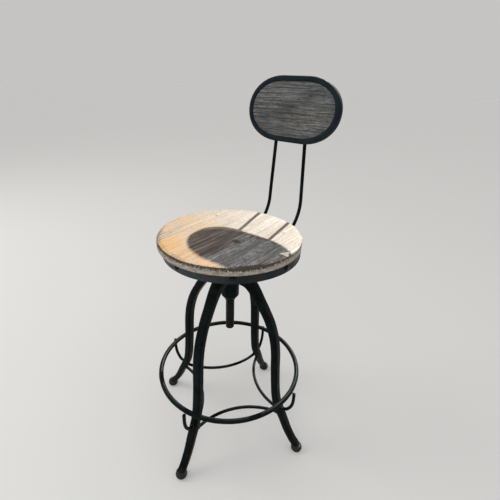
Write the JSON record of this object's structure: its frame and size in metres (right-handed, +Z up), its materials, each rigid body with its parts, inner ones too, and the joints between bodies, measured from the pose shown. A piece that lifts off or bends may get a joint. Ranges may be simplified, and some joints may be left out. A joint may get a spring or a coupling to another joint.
{
  "type": "drafting chair",
  "caption": "Screw-raised drafting chair: round wooden seat in a steel band, small oval back on two rods, four bent steel legs, foot ring on hooks, bowed braces.",
  "frame": {"origin": "on the floor, under the centre of the chair's overall outline; the screw's axis stands 14.3 mm towards -Y of it", "axes": "+Z up, +Y towards the chair's back, +X towards the sitter's left"},
  "size_m": [0.5058, 0.5344, 1.0024],
  "materials": {
    "black_steel": "satin, worn",
    "worn_steel": "dark oiled",
    "foot_rubber": "matt",
    "seat_timber": "weathered, waxed",
    "back_timber": "weathered, grey"
  },
  "bodies": {
    "base": {"hub": "black_steel", "leg_left": "black_steel", "leg_back": "black_steel", "leg_right": "black_steel", "leg_front": "black_steel", "foot_left": "foot_rubber", "foot_back": "foot_rubber", "foot_right": "foot_rubber", "foot_front": "foot_rubber", "foot_ring": "black_steel", "ring_hook_left": "black_steel", "ring_hook_back": "black_steel", "ring_hook_right": "black_steel", "ring_hook_front": "black_steel", "brace_left": "black_steel", "brace_back": "black_steel", "brace_right": "black_steel", "brace_front": "black_steel"},
    "washer": {"hub_washer": "worn_steel"},
    "seat": {"screw": "worn_steel", "seat_plate": "black_steel", "seat_wood": "seat_timber", "seat_band": "black_steel", "band_bolt_1": "worn_steel", "band_bolt_2": "worn_steel", "band_bolt_3": "worn_steel", "band_bolt_4": "worn_steel", "band_bolt_5": "worn_steel", "band_bolt_6": "worn_steel", "band_bolt_7": "worn_steel", "band_bolt_8": "worn_steel", "back_rod_left": "black_steel", "back_rod_right": "black_steel", "rod_clamp_front": "black_steel", "rod_clamp_back": "black_steel", "clamp_bolt_front_right": "worn_steel", "clamp_bolt_front_left": "worn_steel", "clamp_bolt_back_right": "worn_steel", "clamp_bolt_back_left": "worn_steel", "back_pan": "black_steel", "back_panel": "back_timber"}
  },
  "joints": [
    {"name": "seat_turn", "type": "hinge", "parent": "base", "child": "washer", "pos_m": [0, -0.01432, 0.55], "axis": [0, 0, 1], "range_deg": [-1080, 4320]},
    {"name": "seat_lift", "type": "slide", "parent": "washer", "child": "seat", "axis": [0, 0, 1], "range_m": [-0.024, 0.096]}
  ],
  "couplings": [
    {"joint": "seat_lift", "follows": "seat_turn", "m_per_rad": 0.0012732}
  ]
}
